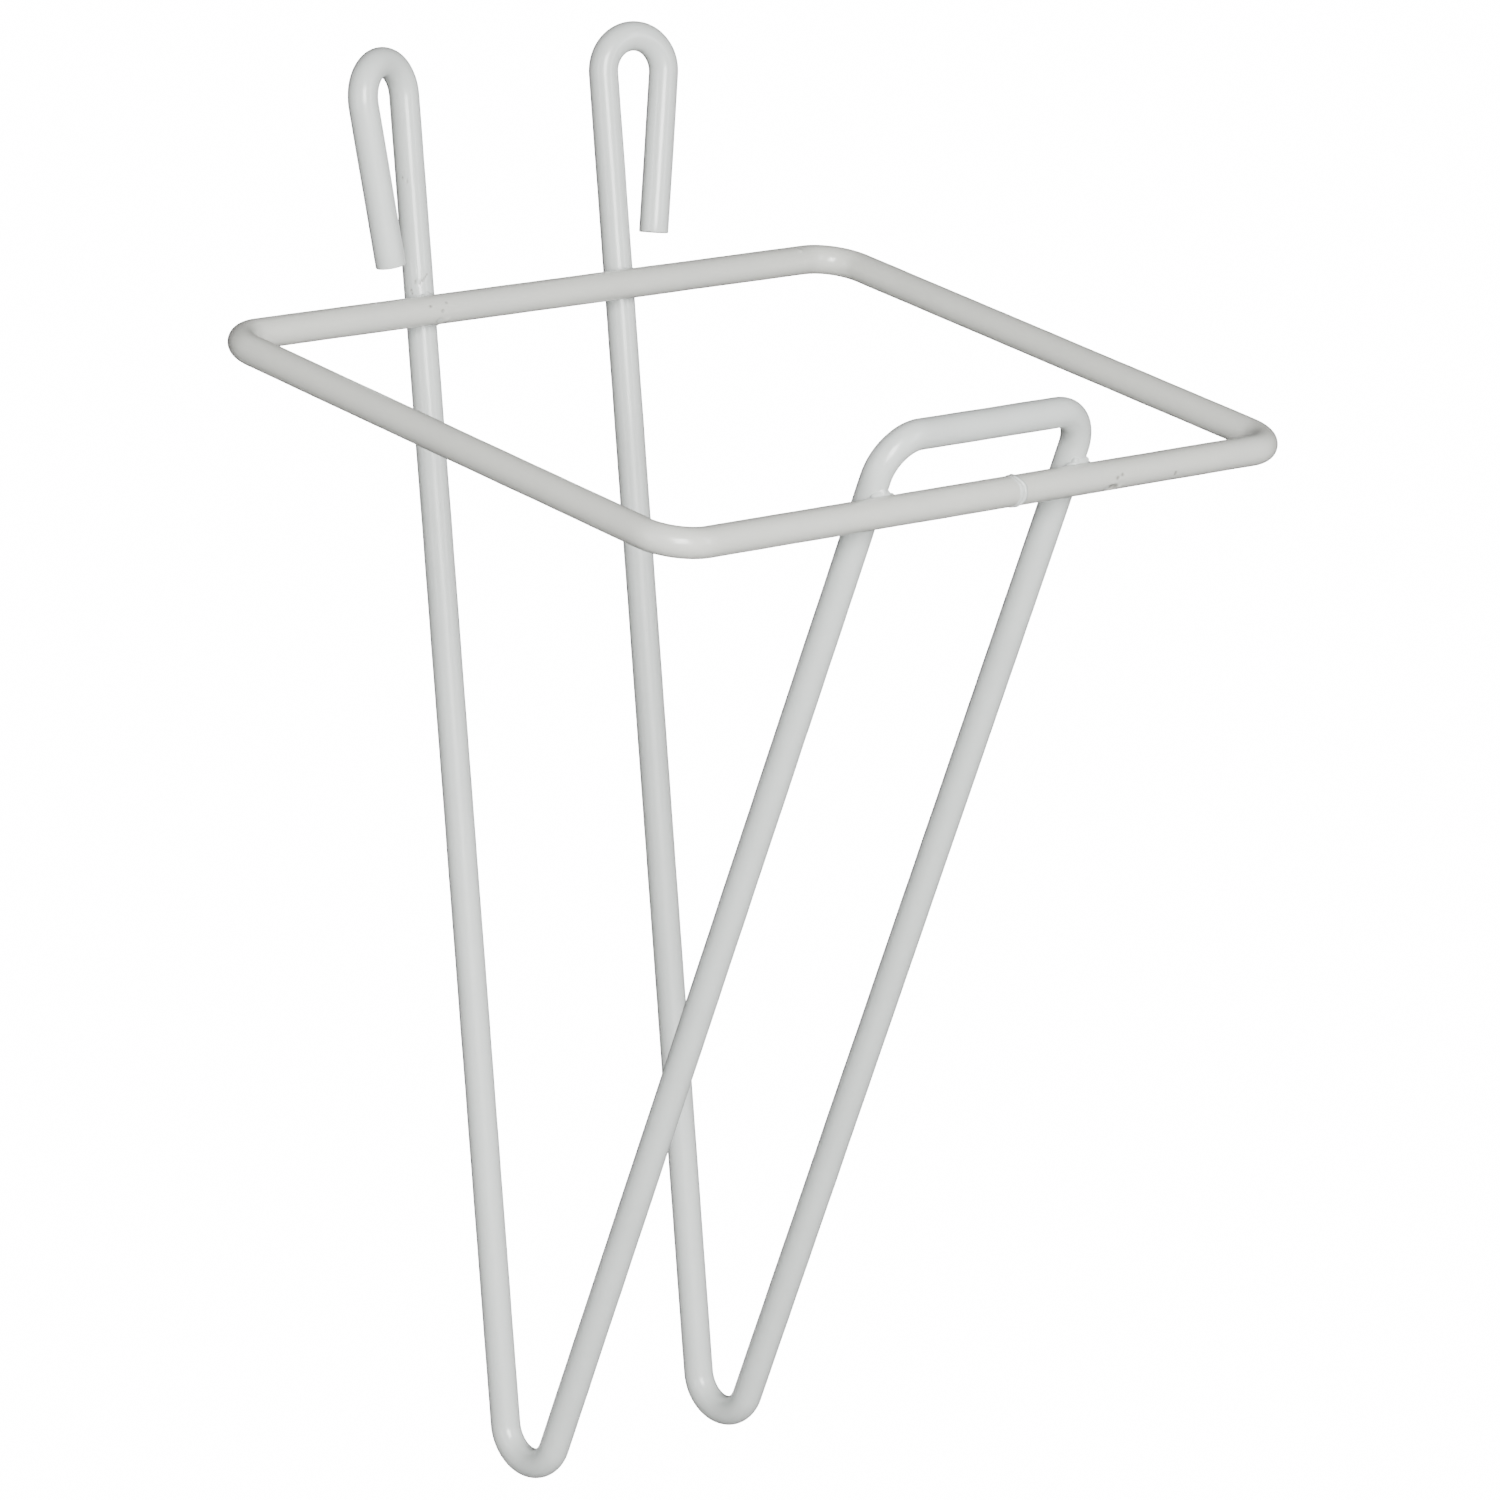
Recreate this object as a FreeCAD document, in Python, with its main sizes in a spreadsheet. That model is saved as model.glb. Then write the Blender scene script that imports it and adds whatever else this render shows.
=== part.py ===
"""Plastic bag holder: two bent and resistance-welded round wires.

One wire makes both hooks, the rear legs, the slanting struts and the bridge
that stands over the front bar. The other wire is a rounded hoop, closed by a
butt weld, that the legs and the struts carry at four crossings.

Axes: +Z up, -Y towards the person who takes a bag, X across. The origin is
halfway between the legs' axes, level with the centres of the hooks' bends, so
what the holder hangs from passes just above it.
"""
import FreeCAD, Part
import math
import os

import Sketcher

# Driving dimensions in millimetres and degrees. Every distance is to a wire's
# middle line, unless its note says otherwise.
SIZES = [
    ("wire_diameter", 6.35, "both wires"),
    ("leg_spacing", 57.5, "between the two legs"),
    ("leg_drop", 289.5, "start of a hook's bend down to the bottom of the lower bend"),
    ("lower_bend_radius", 7.8, "bend between a leg and its strut"),
    ("hook_radius", 7.5, "bend at the top of a hook"),
    ("hook_close", 9.0, "angle that a hook's tail leans in, towards its leg"),
    ("hook_tail", 34.0, "straight part of a hook's tail"),
    ("hook_swing", 13.0, "angle that a tail stands forward of the hoop's rear bar"),
    ("hoop_drop", 44.5, "start of a hook's bend down to the hoop's rear bar"),
    ("hoop_width", 176.0, "between the hoop's sides"),
    ("hoop_depth", 133.0, "between the hoop's front and rear bars, along its slope"),
    ("hoop_corner_radius", 9.0, "bend at the hoop's corners"),
    ("hoop_tilt", 17.6, "angle that the hoop slopes down to the front"),
    ("bridge_rise", 14.4, "hoop's front bar up to the bridge"),
    ("bridge_radius", 9.0, "bend between a strut and the bridge"),
    ("weld_set_down", 0.5, "how far two crossing wires sink into each other"),
    ("bead_radius", 2.25, "ring of squeezed-out metal round a crossing weld"),
    ("bead_thickness", 1.7, "thickness of that ring"),
    ("butt_offset", 7.0, "hoop's butt weld, to the right of the middle"),
    ("butt_width", 1.2, "weld metal between the hoop wire's two ends"),
    ("flash_height", 0.3, "how far the butt weld stands proud of the wire"),
]

# Numbers that a sketch gives to an element's points, its origin and its axes.
START = 1
END = 2
CENTRE = 3
ORIGIN = (-1, 1)
ACROSS = -1
UPRIGHT = -2

TINY = 1e-6
VOLUME_TOLERANCE = 1e-3

doc = FreeCAD.newDocument("plastic_bag_holder")


def make_sheet():
    """Put each driving dimension in a cell that has its name as alias."""
    table = doc.addObject("Spreadsheet::Sheet", "sizes")
    for row, (alias, value, note) in enumerate(SIZES, start=1):
        table.set(f"A{row}", alias)
        table.set(f"B{row}", str(value))
        table.set(f"C{row}", note)
        table.setAlias(f"B{row}", alias)
    doc.recompute()
    return table


sheet = make_sheet()


def size(alias):
    """A driving dimension's present value."""
    return float(sheet.get(alias))


def bind(thing, expressions):
    """Bind a thing's properties to expressions, given as {property: expression}."""
    for name, expression in expressions.items():
        thing.setExpression(name, expression)


# Sketches

def make_sketch(body, name, role, expressions=None):
    """Add a sketch on one of the body's own origin planes."""
    sketch = body.newObject("Sketcher::SketchObject", name)
    plane = next(item for item in body.Origin.OriginFeatures if item.Role == role)
    sketch.AttachmentSupport = [(plane, "")]
    sketch.MapMode = "FlatFace"
    bind(sketch, expressions or {})
    return sketch


def constrain(sketch, kind, *items):
    return sketch.addConstraint(Sketcher.Constraint(kind, *items))


def dimension(sketch, name, expression, kind, *items):
    """Add a named dimension and bind it; its own value is only a first guess."""
    index = constrain(sketch, kind, *items)
    sketch.renameConstraint(index, name)
    sketch.setExpression("Constraints." + name, expression)


def measure(sketch, name, kind, *items):
    """Add a named reference dimension, which other expressions can read."""
    index = constrain(sketch, kind, *items)
    sketch.setDriving(index, False)
    sketch.renameConstraint(index, name)


def draw_run(sketch, points, radius, radius_name):
    """Draw straight runs through points, with equal tangent bends between them.

    Returns the numbers of the straight runs and of the bends.
    """
    corners = [FreeCAD.Vector(x, y, 0) for x, y in points]
    runs = []
    bends = []
    begin = corners[0]
    for corner, after in zip(corners[1:], corners[2:] + [None]):
        ahead = (corner - begin).normalize()
        if after is None:
            runs.append(sketch.addGeometry(Part.LineSegment(begin, corner)))
            break
        away = (after - corner).normalize()
        turn = math.atan2(ahead.x * away.y - ahead.y * away.x, ahead.dot(away))
        trim = radius * math.tan(abs(turn) / 2)
        left = FreeCAD.Vector(-ahead.y, ahead.x, 0) * math.copysign(1, turn)
        centre = corner - ahead * trim + left * radius
        first = math.atan2(-left.y, -left.x)
        low, high = sorted((first, first + turn))
        circle = Part.Circle(centre, FreeCAD.Vector(0, 0, 1), radius)
        runs.append(sketch.addGeometry(Part.LineSegment(begin, corner - ahead * trim)))
        bends.append((sketch.addGeometry(Part.ArcOfCircle(circle, low, high)), turn > 0))
        begin = corner + away * trim
    for index, (bend, anticlockwise) in enumerate(bends):
        near, far = (START, END) if anticlockwise else (END, START)
        constrain(sketch, "Tangent", runs[index], END, bend, near)
        constrain(sketch, "Tangent", runs[index + 1], START, bend, far)
    bends = [bend for bend, anticlockwise in bends]
    dimension(sketch, radius_name, "sizes." + radius_name, "Radius", bends[0], radius)
    for bend in bends[1:]:
        constrain(sketch, "Equal", bends[0], bend)
    return runs, bends


def draw_section(sketch, x, y, x_expression, y_expression):
    """Draw the wire's round section at x, y, given with the sign that x and y have."""
    radius = size("wire_diameter") / 2
    circle = Part.Circle(FreeCAD.Vector(x, y, 0), FreeCAD.Vector(0, 0, 1), radius)
    ring = sketch.addGeometry(circle)
    dimension(sketch, "diameter", "sizes.wire_diameter", "Diameter", ring, 2 * radius)
    for kind, axis, value, expression in (
        ("DistanceX", UPRIGHT, x, x_expression),
        ("DistanceY", ACROSS, y, y_expression),
    ):
        if abs(value) < TINY:
            constrain(sketch, "PointOnObject", ring, CENTRE, axis)
        elif value > 0:
            dimension(sketch, kind.lower(), expression, kind, *ORIGIN, ring, CENTRE, value)
        else:
            dimension(sketch, kind.lower(), expression, kind, ring, CENTRE, *ORIGIN, -value)


def make_pipe(body, name, section, path):
    """Sweep the wire's section along a path, onto what the body already holds."""
    doc.recompute()
    pipe = body.newObject("PartDesign::AdditivePipe", name)
    pipe.Profile = section
    pipe.Spine = (path, [f"Edge{number + 1}" for number in range(len(path.Shape.Edges))])
    return pipe


def check_wire(body, paths, count):
    """Compare a wire's volume with its section times its length."""
    doc.recompute()
    length = count * sum(edge.Length for path in paths for edge in path.Shape.Edges)
    expected = math.pi * size("wire_diameter") ** 2 / 4 * length
    print(f"{body.Label}: {length:.1f} mm of wire, volume {body.Shape.Volume:.1f} mm3")
    if abs(body.Shape.Volume / expected - 1) > VOLUME_TOLERANCE:
        raise RuntimeError(f"{body.Label} should hold {expected:.1f} mm3")


# The hoop wire

# Crossing wires lie this far apart, middle to middle.
CROSSING = "(sizes.wire_diameter - sizes.weld_set_down)"
FRONT_BAR_Y = f"-({CROSSING} + sizes.hoop_depth * cos(sizes.hoop_tilt))"
FRONT_BAR_Z = "-(sizes.hoop_drop + sizes.hoop_depth * sin(sizes.hoop_tilt))"


def front_bar():
    """The middle of the hoop's front bar, as y and z."""
    tilt = math.radians(size("hoop_tilt"))
    crossing = size("wire_diameter") - size("weld_set_down")
    depth = size("hoop_depth")
    return -(crossing + depth * math.cos(tilt)), -(size("hoop_drop") + depth * math.sin(tilt))


def make_hoop_body():
    """The hoop, from one end of its wire round to the other, sloping to the front."""
    body = doc.addObject("PartDesign::Body", "hoop_body")
    bind(body, {
        "Placement.Base.y": "-" + CROSSING,
        "Placement.Base.z": "-sizes.hoop_drop",
        "Placement.Rotation.Axis.x": "1",
        "Placement.Rotation.Axis.z": "0",
        "Placement.Rotation.Angle": "sizes.hoop_tilt",
    })
    half = size("hoop_width") / 2
    depth = size("hoop_depth")
    right_end = size("butt_offset") + size("butt_width") / 2
    left_end = size("butt_offset") - size("butt_width") / 2

    path = make_sketch(body, "hoop_path", "XY_Plane")
    corners = [(half, -depth), (half, 0), (-half, 0), (-half, -depth)]
    points = [(right_end, -depth)] + corners + [(left_end, -depth)]
    runs, bends = draw_run(path, points, size("hoop_corner_radius"), "hoop_corner_radius")
    front_right, right, rear, left, front_left = runs
    for run in (front_right, rear, front_left):
        constrain(path, "Horizontal", run)
    for run in (right, left):
        constrain(path, "Vertical", run)
    constrain(path, "PointOnObject", rear, START, ACROSS)
    constrain(path, "Horizontal", front_right, START, front_left, END)
    dimension(path, "half_right", "sizes.hoop_width / 2", "DistanceX", *ORIGIN, right, START, half)
    dimension(path, "half_left", "sizes.hoop_width / 2", "DistanceX", left, START, *ORIGIN, half)
    dimension(path, "depth", "sizes.hoop_depth", "DistanceY", front_right, START, *ORIGIN, depth)
    dimension(path, "right_end", "sizes.butt_offset + sizes.butt_width / 2",
              "DistanceX", *ORIGIN, front_right, START, right_end)
    dimension(path, "left_end", "sizes.butt_offset - sizes.butt_width / 2",
              "DistanceX", *ORIGIN, front_left, END, left_end)

    section = make_sketch(body, "hoop_section", "YZ_Plane", {
        "AttachmentOffset.Base.z": "sizes.butt_offset + sizes.butt_width / 2",
    })
    draw_section(section, -depth, 0, "sizes.hoop_depth", None)
    make_pipe(body, "hoop_pipe", section, path)
    body.Label = "hoop_wire_body"
    check_wire(body, [path], 1)
    return body


# The frame wire

def make_side_path(body):
    """The left leg, its lower bend and its strut, which rests on the front bar."""
    path = make_sketch(body, "side_path", "YZ_Plane", {
        "AttachmentOffset.Base.z": "-sizes.leg_spacing / 2",
    })
    crossing = size("wire_diameter") - size("weld_set_down")
    bar_y, bar_z = front_bar()
    radius = size("lower_bend_radius")
    bend_z = radius - size("leg_drop")

    # The strut touches the lower bend on one side and the front bar on the other.
    reach = math.hypot(-radius - bar_y, bend_z - bar_z)
    lean = math.atan2(bend_z - bar_z, -radius - bar_y) + math.acos((radius + crossing) / reach)
    foot = (0, bend_z - radius / math.tan(lean / 2))
    corner_z = bar_z + size("bridge_rise")
    corner_y = -(corner_z - foot[1]) * math.tan(lean)
    stub = size("bridge_radius")
    strut_end = (corner_y + stub * math.sin(lean), corner_z - stub * math.cos(lean))

    (leg, strut), (bend,) = draw_run(path, [(0, 0), foot, strut_end], radius, "lower_bend_radius")
    constrain(path, "Coincident", leg, START, *ORIGIN)
    constrain(path, "Vertical", leg)
    dimension(path, "bottom", "sizes.leg_drop - sizes.lower_bend_radius",
              "DistanceY", bend, CENTRE, *ORIGIN, -bend_z)

    bar = Part.Circle(FreeCAD.Vector(bar_y, bar_z, 0), FreeCAD.Vector(0, 0, 1), crossing)
    rest = path.addGeometry(bar, True)
    dimension(path, "rest_radius", CROSSING, "Radius", rest, crossing)
    dimension(path, "rest_y", "-" + FRONT_BAR_Y, "DistanceX", rest, CENTRE, *ORIGIN, -bar_y)
    dimension(path, "rest_z", "-" + FRONT_BAR_Z, "DistanceY", rest, CENTRE, *ORIGIN, -bar_z)
    constrain(path, "Tangent", strut, rest)

    # The bend into the bridge is a right angle, so it takes its own radius off the strut.
    ends = [FreeCAD.Vector(*strut_end, 0), FreeCAD.Vector(corner_y, corner_z, 0)]
    last = path.addGeometry(Part.LineSegment(*ends), True)
    constrain(path, "Coincident", strut, END, last, START)
    constrain(path, "Parallel", strut, last)
    dimension(path, "stub", "sizes.bridge_radius", "Distance", last, stub)
    dimension(path, "rise", "sizes.bridge_rise", "DistanceY", rest, CENTRE, last, END,
              size("bridge_rise"))
    measure(path, "slope", "Angle", strut, math.pi / 2 + lean)
    measure(path, "corner_y", "DistanceX", last, END, *ORIGIN, -corner_y)
    measure(path, "corner_z", "DistanceY", last, END, *ORIGIN, -corner_z)
    return path, corner_y, corner_z


def make_hook_path(body):
    """The left hook, in an upright plane through the leg's axis."""
    path = make_sketch(body, "hook_path", "XZ_Plane", {
        "AttachmentOffset.Base.x": "-sizes.leg_spacing / 2",
        "AttachmentOffset.Rotation.Axis.y": "1",
        "AttachmentOffset.Rotation.Axis.z": "0",
        "AttachmentOffset.Rotation.Angle": "180 + sizes.hook_swing",
    })
    radius = size("hook_radius")
    tail = size("hook_tail")
    close = math.radians(size("hook_close"))
    centre = FreeCAD.Vector(radius, 0, 0)
    circle = Part.Circle(centre, FreeCAD.Vector(0, 0, 1), radius)
    turn = path.addGeometry(Part.ArcOfCircle(circle, -close, math.pi))
    bend_end = centre + FreeCAD.Vector(math.cos(close), -math.sin(close), 0) * radius
    tip = bend_end - FreeCAD.Vector(math.sin(close), math.cos(close), 0) * tail
    straight = path.addGeometry(Part.LineSegment(bend_end, tip))
    constrain(path, "Tangent", straight, START, turn, START)
    constrain(path, "Coincident", turn, END, *ORIGIN)
    constrain(path, "Horizontal", turn, END, turn, CENTRE)
    dimension(path, "radius", "sizes.hook_radius", "Radius", turn, radius)
    dimension(path, "tail", "sizes.hook_tail", "Distance", straight, tail)
    dimension(path, "close", "-90 - sizes.hook_close", "Angle", straight, -math.pi / 2 - close)
    return path


def make_bridge_path(body):
    """The bend at the top of the left strut, and the bridge as far as its middle."""
    path = make_sketch(body, "bridge_path", "XZ_Plane", {
        "AttachmentOffset.Base.y": "-side_path.Constraints.corner_z",
        "AttachmentOffset.Base.z": "side_path.Constraints.corner_y",
        "AttachmentOffset.Rotation.Axis.x": "1",
        "AttachmentOffset.Rotation.Axis.z": "0",
        "AttachmentOffset.Rotation.Angle": "side_path.Constraints.slope - 90 deg",
    })
    half = size("leg_spacing") / 2
    radius = size("bridge_radius")
    centre = FreeCAD.Vector(radius - half, -radius, 0)
    circle = Part.Circle(centre, FreeCAD.Vector(0, 0, 1), radius)
    turn = path.addGeometry(Part.ArcOfCircle(circle, math.pi / 2, math.pi))
    top = FreeCAD.Vector(radius - half, 0, 0)
    bridge = path.addGeometry(Part.LineSegment(top, FreeCAD.Vector(0, 0, 0)))
    constrain(path, "Tangent", bridge, START, turn, START)
    constrain(path, "Coincident", bridge, END, *ORIGIN)
    constrain(path, "Horizontal", bridge)
    constrain(path, "Horizontal", turn, END, turn, CENTRE)
    dimension(path, "radius", "sizes.bridge_radius", "Radius", turn, radius)
    dimension(path, "half", "sizes.leg_spacing / 2", "DistanceX", turn, END, *ORIGIN, half)
    return path


def make_frame_body():
    """Left half of the frame wire in three sweeps, mirrored to the right."""
    body = doc.addObject("PartDesign::Body", "frame_body")
    side_path, corner_y, corner_z = make_side_path(body)
    half = size("leg_spacing") / 2

    leg_section = make_sketch(body, "leg_section", "XY_Plane")
    draw_section(leg_section, -half, 0, "sizes.leg_spacing / 2", None)
    make_pipe(body, "side_pipe", leg_section, side_path)

    hook_path = make_hook_path(body)
    hook_section = make_sketch(body, "hook_section", "XY_Plane")
    draw_section(hook_section, -half, 0, "sizes.leg_spacing / 2", None)
    make_pipe(body, "hook_pipe", hook_section, hook_path)

    bridge_path = make_bridge_path(body)
    bridge_section = make_sketch(body, "bridge_section", "YZ_Plane")
    draw_section(bridge_section, corner_y, corner_z,
                 "side_path.Constraints.corner_y", "side_path.Constraints.corner_z")
    make_pipe(body, "bridge_pipe", bridge_section, bridge_path)

    doc.recompute()
    mirror = body.newObject("PartDesign::Mirrored", "frame_mirror")
    middle = next(item for item in body.Origin.OriginFeatures if item.Role == "YZ_Plane")
    mirror.MirrorPlane = (middle, [""])
    mirror.TransformMode = "Whole shape"
    body.Tip = mirror
    body.Label = "frame_wire"
    check_wire(body, [side_path, hook_path, bridge_path], 2)
    return body


# Welds

def make_cut(label, base, tool):
    cut = doc.addObject("Part::Cut", label)
    cut.Base = base
    cut.Tool = tool
    cut.Label = label
    return cut


def make_bead(label, side, y, z, lean, wires):
    """A crossing weld: a ring of squeezed-out metal round the point of contact.

    y and z give the middle of the crossing bar and lean the upright wire's angle.
    """
    ring = doc.addObject("Part::Torus", label + "_ring")
    bind(ring, {
        "Radius1": "sizes.bead_radius",
        "Radius2": "sizes.bead_thickness / 2",
        "Placement.Base.x": f"{side} * sizes.leg_spacing / 2",
        "Placement.Base.y": f"{y} + {CROSSING} / 2 * cos({lean})",
        "Placement.Base.z": f"{z} + {CROSSING} / 2 * sin({lean})",
        "Placement.Rotation.Axis.x": "1",
        "Placement.Rotation.Axis.z": "0",
        "Placement.Rotation.Angle": f"{lean} - 90 deg",
    })
    first, second = wires
    trimmed = make_cut(label + "_trimmed", ring, first)
    return make_cut(label, trimmed, second)


def make_butt_weld():
    """The weld that closes the hoop: the metal between the ends, and its flash."""
    placement = {
        "Placement.Base.y": FRONT_BAR_Y,
        "Placement.Base.z": FRONT_BAR_Z,
        "Placement.Rotation.Axis.y": "1",
        "Placement.Rotation.Axis.z": "0",
        "Placement.Rotation.Angle": "90",
    }
    core = doc.addObject("Part::Cylinder", "butt_core")
    bind(core, placement)
    bind(core, {
        "Placement.Base.x": "sizes.butt_offset - sizes.butt_width / 2",
        "Radius": "sizes.wire_diameter / 2",
        "Height": "sizes.butt_width",
    })
    flash = doc.addObject("Part::Torus", "butt_flash")
    bind(flash, placement)
    bind(flash, {
        "Placement.Base.x": "sizes.butt_offset",
        "Radius1": "sizes.wire_diameter / 2 + sizes.flash_height - sizes.butt_width / 2",
        "Radius2": "sizes.butt_width / 2",
    })
    weld = doc.addObject("Part::Fuse", "hoop_butt_weld")
    weld.Base = core
    weld.Tool = flash
    weld.Label = "hoop_butt_weld"
    return weld


def make_pieces():
    frame = make_frame_body()
    hoop = make_cut("hoop_wire", make_hoop_body(), frame)
    strut_lean = "(side_path.Constraints.slope - 90 deg)"
    pieces = [frame, hoop, make_butt_weld()]
    for name, side in (("left", -1), ("right", 1)):
        wires = (frame, hoop)
        pieces.append(make_bead(f"rear_{name}_weld", side, "-" + CROSSING, "-sizes.hoop_drop",
                                "0 deg", wires))
        pieces.append(make_bead(f"front_{name}_weld", side, FRONT_BAR_Y, FRONT_BAR_Z,
                                strut_lean, wires))
    return pieces


def check(pieces):
    """Stop if a feature failed, or if a piece isn't one valid solid."""
    doc.recompute()
    for item in doc.Objects:
        if "Invalid" in item.State or "Error" in item.State:
            raise RuntimeError(f"{item.Label} failed: {item.State}")
    for piece in pieces:
        shape = piece.Shape
        if shape.isNull() or not shape.isValid() or len(shape.Solids) != 1:
            raise RuntimeError(f"{piece.Label} isn't one valid solid")


def write(pieces):
    os.makedirs("parts", exist_ok=True)
    for piece in pieces:
        piece.Shape.exportStep(f"parts/{piece.Label}.step")
        print(f"{piece.Label}: {piece.Shape.Volume:.2f} mm3")


all_pieces = make_pieces()
check(all_pieces)
write(all_pieces)
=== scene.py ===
"""Looks of a hook-on plastic bag holder: coated wires, squeezed-out welds and a studio stage.

The file is laid out as an add-on and run as a script. Lengths are in metres, on the frame's axes:
+Z up as the holder hangs, -Y towards the person who takes a bag, +X to the right.
"""
import math
import random

import bpy
from mathutils import Matrix, Vector


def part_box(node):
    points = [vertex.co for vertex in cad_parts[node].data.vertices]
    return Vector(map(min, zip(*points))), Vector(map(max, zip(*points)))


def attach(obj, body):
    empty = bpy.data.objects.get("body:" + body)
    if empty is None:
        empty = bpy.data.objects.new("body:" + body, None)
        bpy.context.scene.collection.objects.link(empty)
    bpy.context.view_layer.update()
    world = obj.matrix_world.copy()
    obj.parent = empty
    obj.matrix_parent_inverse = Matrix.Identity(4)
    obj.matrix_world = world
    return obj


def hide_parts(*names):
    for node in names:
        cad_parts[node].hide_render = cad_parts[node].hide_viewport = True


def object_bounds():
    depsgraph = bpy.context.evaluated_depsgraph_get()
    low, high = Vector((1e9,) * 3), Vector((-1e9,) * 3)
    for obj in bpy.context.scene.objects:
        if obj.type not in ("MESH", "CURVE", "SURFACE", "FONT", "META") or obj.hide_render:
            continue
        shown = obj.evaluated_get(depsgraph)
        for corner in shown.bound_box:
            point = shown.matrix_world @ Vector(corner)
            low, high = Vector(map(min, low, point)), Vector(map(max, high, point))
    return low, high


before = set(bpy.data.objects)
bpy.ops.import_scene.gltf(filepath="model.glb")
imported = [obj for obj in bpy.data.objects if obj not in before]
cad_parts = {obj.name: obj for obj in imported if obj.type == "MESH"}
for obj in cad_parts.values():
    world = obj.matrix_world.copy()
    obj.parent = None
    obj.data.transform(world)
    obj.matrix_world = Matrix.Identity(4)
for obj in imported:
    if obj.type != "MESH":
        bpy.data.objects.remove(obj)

bl_info = {
    "name": "Bag Holder Looks",
    "version": (1, 0, 0),
    "blender": (4, 5, 0),
    "location": "View3D > Sidebar > Bag Holder",
    "description": "Models a bag holder's coated wires and welds around its packed frame",
    "category": "Add Mesh",
}

MM = 0.001
X, Z = Vector((1, 0, 0)), Vector((0, 0, 1))
BODY = "root"
CAD_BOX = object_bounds()

BEND_STEP = 5  # degrees that one ring of faces turns in a bend
MERGE_DISTANCE = 0.001 * MM
SMOOTH_ANGLE = math.radians(50)
END_BEVEL = 0.3 * MM
COAT_WAVE = 9 * MM  # grain of the coat's thick and thin stretches
MARK_CUTS = 6  # how finely the surface is divided round a mark
MARK_MARGIN = 1.5 * MM
SCUFF_REACH = 0.8  # share of a dent's radius that is scuffed
SCUFF_EDGE = 1.6  # how sharply a scuff ends
STUB_LENGTH = 8.4 * MM
STUB_SUNK = 0.11 * MM  # how far under the wires' surface a weld's stubs lie
RING_RADIUS = 2.35 * MM
RING_THICKNESS = 0.95 * MM
BEADS = 11  # lumps of metal round a crossing weld
WELD_VOXEL = 0.15 * MM
WHITE = 16.0  # strength at which the ground and the room look plain white


def middle_x(node):
    low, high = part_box(node)
    return (low.x + high.x) / 2


# Middles of the wires, read from the boxes of the frame's nodes.
FRAME_LOW, FRAME_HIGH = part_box("frame_wire")
HOOP_LOW, HOOP_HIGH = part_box("hoop_wire")
WIRE_RADIUS = FRAME_HIGH.y
LEG_X = middle_x("rear_right_weld")
BUTT_X = middle_x("hoop_butt_weld")
HOOP_HALF_WIDTH = HOOP_HIGH.x - WIRE_RADIUS
REAR_BAR = Vector((0, HOOP_HIGH.y - WIRE_RADIUS, HOOP_HIGH.z - WIRE_RADIUS))
FRONT_BAR = Vector((0, HOOP_LOW.y + WIRE_RADIUS, HOOP_LOW.z + WIRE_RADIUS))
CROSSING = -REAR_BAR.y
BRIDGE_Y = FRAME_LOW.y + WIRE_RADIUS
LEG_BOTTOM = FRAME_LOW.z + WIRE_RADIUS
HOOK_RADIUS = FRAME_HIGH.z - WIRE_RADIUS


def strut_lean(bend_radius):
    """Angle between a strut and the upright: it touches its lower bend and the front bar."""
    centre = Vector((0, -bend_radius, LEG_BOTTOM + bend_radius))
    across = centre.y - FRONT_BAR.y
    down = centre.z - FRONT_BAR.z
    reach = math.hypot(across, down)
    return math.atan2(down, across) + math.acos((bend_radius + CROSSING) / reach)


# Settings

class WireSettings(bpy.types.PropertyGroup):
    radius: bpy.props.FloatProperty(
        name="Wire Radius", description="Radius of both wires with their coat",
        default=WIRE_RADIUS, unit="LENGTH", precision=5)
    lower_bend: bpy.props.FloatProperty(
        name="Lower Bend", description="Radius of the bend between a leg and its strut",
        default=7.8 * MM, unit="LENGTH", precision=4)
    bridge_bend: bpy.props.FloatProperty(
        name="Bridge Bend", description="Radius of the bend between a strut and the bridge",
        default=9.0 * MM, unit="LENGTH", precision=4)
    hoop_bend: bpy.props.FloatProperty(
        name="Hoop Bend", description="Radius of the hoop's four corners",
        default=9.0 * MM, unit="LENGTH", precision=4)
    hook_close: bpy.props.FloatProperty(
        name="Hook Close", description="Angle that a hook's tail leans in towards its leg",
        default=math.radians(9), subtype="ANGLE")
    hook_swing: bpy.props.FloatProperty(
        name="Hook Swing", description="Angle that a hook's tail stands forward of the rear bar",
        default=math.radians(13), subtype="ANGLE")
    hook_tail: bpy.props.FloatProperty(
        name="Hook Tail", description="Straight part of a hook's tail",
        default=34 * MM, unit="LENGTH", precision=4)
    sides: bpy.props.IntProperty(
        name="Sides", description="Faces around a wire", default=40, min=12)
    ring_gap: bpy.props.FloatProperty(
        name="Ring Gap", description="Distance between the rings of faces along a wire",
        default=2.6 * MM, unit="LENGTH", precision=5)


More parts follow.
